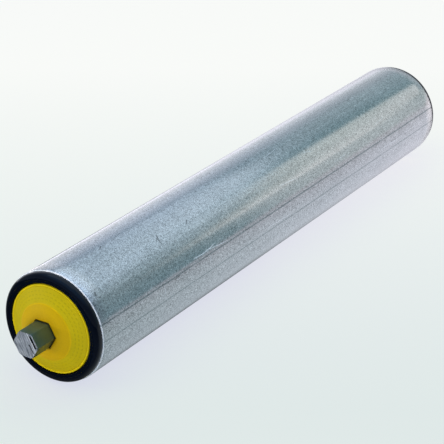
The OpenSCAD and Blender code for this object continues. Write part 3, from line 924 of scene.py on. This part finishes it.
axle = hexagon("axle_bar", axle_flat, -axle_half - mm, axle_half + mm)
soften(axle, 0.3 * mm)
bpy.ops.object.select_all(action="DESELECT")
bpy.ops.mesh.primitive_cylinder_add(
    vertices=RING_STEPS, radius=blank_r, depth=2 * straight, rotation=(math.pi / 2, 0, 0)
)
blank = bpy.context.active_object
bpy.ops.object.transform_apply(location=True, rotation=True, scale=True)
for _, side in ENDS:
    pick(blank, lambda face: face.normal.y * side > 0.9)
    bpy.ops.mesh.extrude_region_move(TRANSFORM_OT_translate={"value": (0, side * end_chamfer, 0)})
    taper = end_r / blank_r
    bpy.ops.transform.resize(value=(taper, 1, taper), center_override=(0, side * axle_half, 0))
    bpy.ops.object.mode_set(mode="OBJECT")
combine(axle, blank, "INTERSECT")
for end, _ in ENDS:
    clip_low, clip_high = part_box(end + "_clip")
    low, high = clip_low.y - neck_gap, clip_high.y + neck_gap
    wide = blank_r + mm
    neck = lathe("neck", [(neck_r, low), (wide, low), (wide, high), (neck_r, high)])
    combine(axle, neck, "DIFFERENCE")


def score(out, start, length, width, deep):
    """A saw score in the near end: a block beside the axis, parallel to one edge of the hexagon."""
    bpy.ops.object.select_all(action="DESELECT")
    turn = math.radians(30)
    across = Vector((math.cos(turn), 0, math.sin(turn)))
    along = Vector((-math.sin(turn), 0, math.cos(turn)))
    middle = across * out + along * (start + length / 2) - Vector((0, axle_half, 0))
    bpy.ops.mesh.primitive_cube_add(size=1, location=middle, rotation=(0, -turn, 0))
    cutter = bpy.context.active_object
    cutter.scale = (width, 2 * deep, length)
    bpy.ops.object.transform_apply(location=True, rotation=True, scale=True)
    return cutter


SCORES = ((4.3, -3.0, 5.8, 0.95, 0.9), (1.9, -4.4, 4.0, 0.45, 0.6))  # all in mm
for sizes in SCORES:
    combine(axle, score(*(size * mm for size in sizes)), "DIFFERENCE")
bpy.ops.object.shade_smooth_by_angle(angle=math.radians(20))
seat(axle, axle_steel, "axle", "axle_steel", "axle")

# %% [markdown]
# ## Axle spring
# A compression spring stands round the axle behind the far bearing. Its first and last turns lie
# flat, so that they press evenly on the washers, and only the turns between them work. A curve
# with a round bevel could make it. Here the round end of the wire is extruded in small steps
# round the axle instead, because then every step can climb by its own amount. The wire's section
# has twelve sides and is turned by half a side, so that a flat faces each washer.

# %% Axle spring
wire_r, coil_r = 0.6 * mm, 7.7 * mm
turn_steps, flat_turns, working_turns = 24, 1, 7.5
wire_sides = 12
section_turn = math.pi / wire_sides
seat_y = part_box("spring_seat_washer")[1].y
spring_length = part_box("spring_thrust_washer")[0].y - seat_y
flat_pitch = 1.04 * 2 * wire_r
working_pitch = (spring_length - 2 * wire_r - 2 * flat_pitch) / working_turns

bpy.ops.object.select_all(action="DESELECT")
bpy.ops.mesh.primitive_circle_add(
    vertices=wire_sides, radius=wire_r, fill_type="NGON", location=(coil_r, seat_y + wire_r, 0),
    rotation=(0, 0, section_turn),
)
spring = bpy.context.active_object
spring.name = "closing_spring"
bpy.ops.object.transform_apply(location=True, rotation=True, scale=True)
bpy.ops.object.mode_set(mode="EDIT")
bpy.ops.mesh.select_all(action="SELECT")
step = -math.tau / turn_steps
for i in range(round((working_turns + 2 * flat_turns) * turn_steps)):
    turns = (i + 0.5) / turn_steps
    works = flat_turns < turns < flat_turns + working_turns
    climb = (working_pitch if works else flat_pitch) / turn_steps
    bpy.ops.mesh.extrude_region_move(TRANSFORM_OT_translate={"value": (0, climb, 0)})
    bpy.ops.transform.rotate(value=step, orient_axis="Y", center_override=(0, 0, 0))
bpy.ops.object.mode_set(mode="OBJECT")
close_mesh(spring)
bpy.ops.object.shade_smooth_by_angle(angle=math.radians(50))
seat(spring, spring_steel, "axle", "spring_steel", "axle_spring")
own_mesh(spring)
print("spring", round(spring_length / mm, 2), "mm, pitch", round(working_pitch / mm, 2), "mm")

# %% [markdown]
# ## The pieces inside
# Bearings, bushes, clips and washers stay as the frame has them. Each gets its finish.

# %% Dressing
def dress(node, finish):
    """Gives a node of the frame its finish in place."""
    mesh = nodes[node].data
    mesh.materials.clear()
    mesh.materials.append(finish.material)


finish_of = {}
for end, _ in ENDS:
    for ring in ("outer_ring", "inner_ring", "balls"):
        finish_of[f"{end}_{ring}"] = bearing_steel
    for shield in ("shield_out", "shield_in"):
        finish_of[f"{end}_{shield}"] = rubber
    finish_of[end + "_cage"] = cage_plastic
    finish_of[end + "_hex_bush"] = bush_plastic
    finish_of[end + "_clip"] = washer_steel
for node in ("near_stop_washer", "spring_seat_washer", "spring_thrust_washer"):
    finish_of[node] = washer_steel
for node, finish in finish_of.items():
    dress(node, finish)
print(len(finish_of), "nodes dressed")
